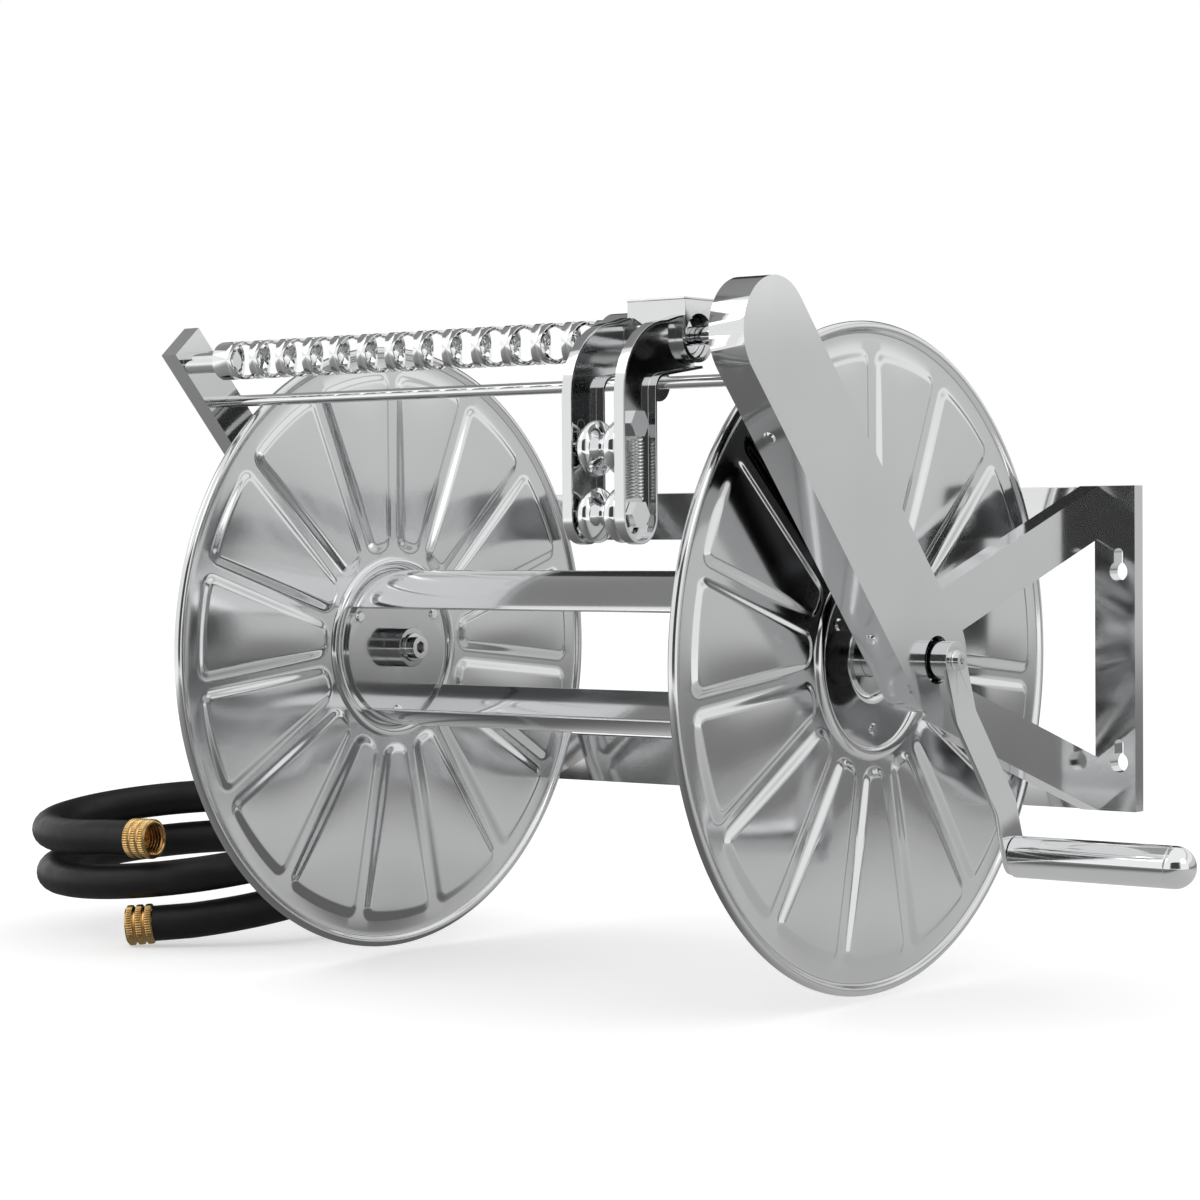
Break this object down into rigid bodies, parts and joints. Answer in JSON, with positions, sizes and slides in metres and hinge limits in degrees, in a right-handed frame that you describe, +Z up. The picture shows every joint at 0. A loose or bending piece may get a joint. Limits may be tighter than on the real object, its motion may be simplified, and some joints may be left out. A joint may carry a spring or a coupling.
{
  "type": "wall mounted hose reel",
  "caption": "Wall mounted hose reel: two ribbed discs on a split drum, side frames, crank, chain driven lead screw with a travelling roller hose guide, and a loose leader hose.",
  "frame": {"origin": "on the wall plane, at the middle of the four keyholes' round parts", "axes": "+X along the drum's axis toward the crank, -Y away from the wall into the room, +Z up"},
  "size_m": [0.8502, 0.412, 0.3979],
  "materials": {
    "stainless": "polished",
    "disc_steel": "polished",
    "chrome_trim": "bright",
    "dark_steel": "satin",
    "brass": "polished",
    "bush_plastic": "smooth",
    "seal_rubber": "matt",
    "hose_rubber": "satin"
  },
  "bodies": {
    "frame": {"frame_right": "stainless", "frame_left": "stainless", "crossbar_upper": "stainless", "crossbar_lower": "stainless", "chain_case_lid": "dark_steel", "lid_screws": "chrome_trim", "axle_bush_left": "bush_plastic", "axle_bush_right": "bush_plastic", "screw_bearing_left": "stainless", "screw_bush_right": "bush_plastic", "guide_rod": "chrome_trim", "guide_rod_nuts": "chrome_trim", "swivel_body": "brass", "swivel_seal": "seal_rubber", "swivel_screws": "chrome_trim", "drive_chain": "dark_steel", "leader_hose": "hose_rubber", "hose_fitting_inlet": "brass", "hose_fitting_outlet": "brass"},
    "drum": {"disc_left": "disc_steel", "disc_right": "disc_steel", "hub_plate_left": "dark_steel", "hub_plate_right": "dark_steel", "drum_shell_upper": "stainless", "drum_shell_lower": "stainless", "hub_screws": "chrome_trim", "spindle_boss": "dark_steel", "spindle_washer": "chrome_trim", "spindle_bolt": "chrome_trim", "axle_left": "stainless", "axle_right": "stainless", "drum_sprocket": "dark_steel", "crank_arm": "stainless", "crank_washer": "chrome_trim", "crank_bolt": "chrome_trim", "grip_pin": "chrome_trim"},
    "crank_grip": {"grip": "chrome_trim", "grip_cap": "chrome_trim"},
    "lead_screw": {"screw_lattice": "chrome_trim", "screw_journal_left": "chrome_trim", "screw_journal_right": "chrome_trim", "screw_sprocket": "dark_steel"},
    "carriage": {"carriage_body": "stainless", "carriage_cap": "stainless", "follower_pawl": "brass", "guide_tray_left": "stainless", "guide_tray_right": "stainless", "rod_bush": "bush_plastic", "upper_roller_axle": "chrome_trim", "anchor_bolts": "chrome_trim", "tension_springs": "chrome_trim"},
    "upper_roller_body": {"upper_roller": "chrome_trim"},
    "tension_axle": {"tension_bolt": "chrome_trim", "tension_nut": "chrome_trim"},
    "lower_roller_body": {"lower_roller": "chrome_trim"}
  },
  "joints": [
    {"name": "drum_spin", "type": "hinge", "parent": "frame", "child": "drum", "pos_m": [-0.011, -0.193, 0.011], "axis": [1, 0, 0], "continuous": true, "deforming": ["drive_chain"]},
    {"name": "grip_spin", "type": "hinge", "parent": "drum", "child": "crank_grip", "pos_m": [0.2405, -0.154, -0.10037], "axis": [1, 0, 0], "continuous": true},
    {"name": "screw_spin", "type": "hinge", "parent": "frame", "child": "lead_screw", "pos_m": [-0.011, -0.34763, 0.18578], "axis": [1, 0, 0], "continuous": true, "deforming": ["drive_chain"]},
    {"name": "guide_slide", "type": "slide", "parent": "frame", "child": "carriage", "axis": [1, 0, 0], "range_m": [-0.278, 0]},
    {"name": "upper_roller_spin", "type": "hinge", "parent": "carriage", "child": "upper_roller_body", "pos_m": [0.1429, -0.39783, 0.12678], "axis": [1, 0, 0], "continuous": true},
    {"name": "tension_slide", "type": "slide", "parent": "carriage", "child": "tension_axle", "axis": [0, 0, 1], "range_m": [-0.0055, 0], "stiffness_N_per_m": 900, "springref_m": 0.004, "deforming": ["tension_springs"]},
    {"name": "lower_roller_spin", "type": "hinge", "parent": "tension_axle", "child": "lower_roller_body", "pos_m": [0.1429, -0.39783, 0.09218], "axis": [1, 0, 0], "continuous": true}
  ],
  "couplings": [
    {"joint": "screw_spin", "follows": "drum_spin", "ratio": 1}
  ]
}
